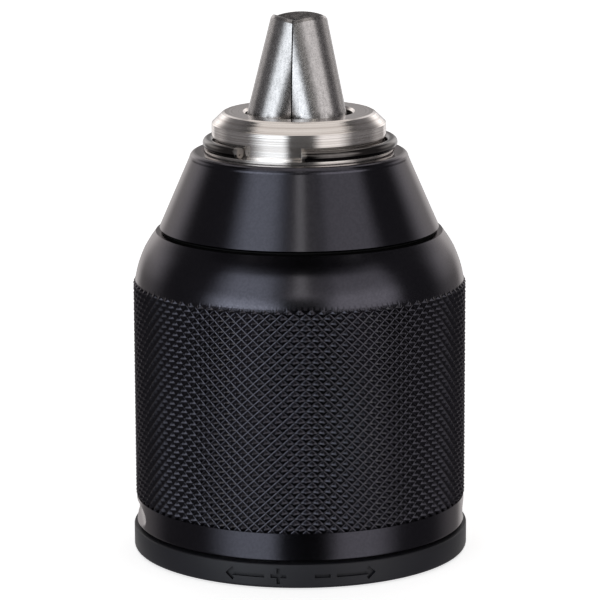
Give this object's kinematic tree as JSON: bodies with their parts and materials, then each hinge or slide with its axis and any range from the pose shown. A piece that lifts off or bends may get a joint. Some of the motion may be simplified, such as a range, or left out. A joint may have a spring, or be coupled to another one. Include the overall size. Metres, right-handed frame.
{
  "type": "drill chuck",
  "caption": "Keyless drill chuck: knurled sleeve turns a split nut that slides inclined toothed jaws in a tapped steel body.",
  "frame": {"origin": "centre of the body's rear face, on the chuck axis", "axes": "+Z along the chuck axis from the spindle thread to the nose; +X to the right of the front view, +Y to the back"},
  "size_m": [0.0434, 0.0434, 0.0696],
  "materials": {
    "turned_steel": "bright turned",
    "jaw_steel": "satin ground",
    "inner_steel": "machined, oiled",
    "spring_steel": "drawn wire",
    "bearing_steel": "polished",
    "cage_brass": "satin",
    "black_sleeve": "semi-gloss black oxide",
    "black_cone": "semi-gloss black oxide",
    "black_plastic": "moulded matte",
    "seal_rubber": "matte"
  },
  "bodies": {
    "body": {"chuck_body": "turned_steel", "nose_cone": "black_cone", "nose_washer": "turned_steel", "snap_ring": "spring_steel", "sleeve_seal": "seal_rubber", "spring_washer": "spring_steel", "fixed_race": "bearing_steel", "ratchet_ring": "inner_steel", "retaining_clip": "spring_steel", "rear_plate": "inner_steel", "rear_ring": "black_plastic"},
    "sleeve": {"grip_sleeve": "black_sleeve", "drive_insert": "inner_steel", "nut_band": "inner_steel", "nut_half_a": "inner_steel", "nut_half_b": "inner_steel", "rotating_race": "bearing_steel", "pawl_spring": "spring_steel"},
    "bearing": {"bearing_cage": "cage_brass", "bearing_balls": "bearing_steel"},
    "jaw_1": {"jaw_1": "jaw_steel"},
    "jaw_2": {"jaw_2": "jaw_steel"},
    "jaw_3": {"jaw_3": "jaw_steel"}
  },
  "joints": [
    {"name": "sleeve_spin", "type": "hinge", "parent": "body", "child": "sleeve", "pos_m": [0, 0, 0.02], "axis": [0, 0, 1], "range_deg": [0, 5328]},
    {"name": "bearing_spin", "type": "hinge", "parent": "body", "child": "bearing", "pos_m": [0, 0, 0.02605], "axis": [0, 0, 1], "range_deg": [0, 2665]},
    {"name": "jaw_1_slide", "type": "slide", "parent": "body", "child": "jaw_1", "axis": [0.0494, 0.2541, -0.9659], "range_m": [0, 0.02225]},
    {"name": "jaw_2_slide", "type": "slide", "parent": "body", "child": "jaw_2", "axis": [-0.2447, -0.0843, -0.9659], "range_m": [0, 0.02225]},
    {"name": "jaw_3_slide", "type": "slide", "parent": "body", "child": "jaw_3", "axis": [0.1953, -0.1698, -0.9659], "range_m": [0, 0.02225]}
  ],
  "couplings": [
    {"joint": "bearing_spin", "follows": "sleeve_spin", "ratio": 0.5},
    {"joint": "jaw_1_slide", "follows": "sleeve_spin", "m_per_rad": 0.00023873},
    {"joint": "jaw_2_slide", "follows": "sleeve_spin", "m_per_rad": 0.00023873},
    {"joint": "jaw_3_slide", "follows": "sleeve_spin", "m_per_rad": 0.00023873}
  ]
}
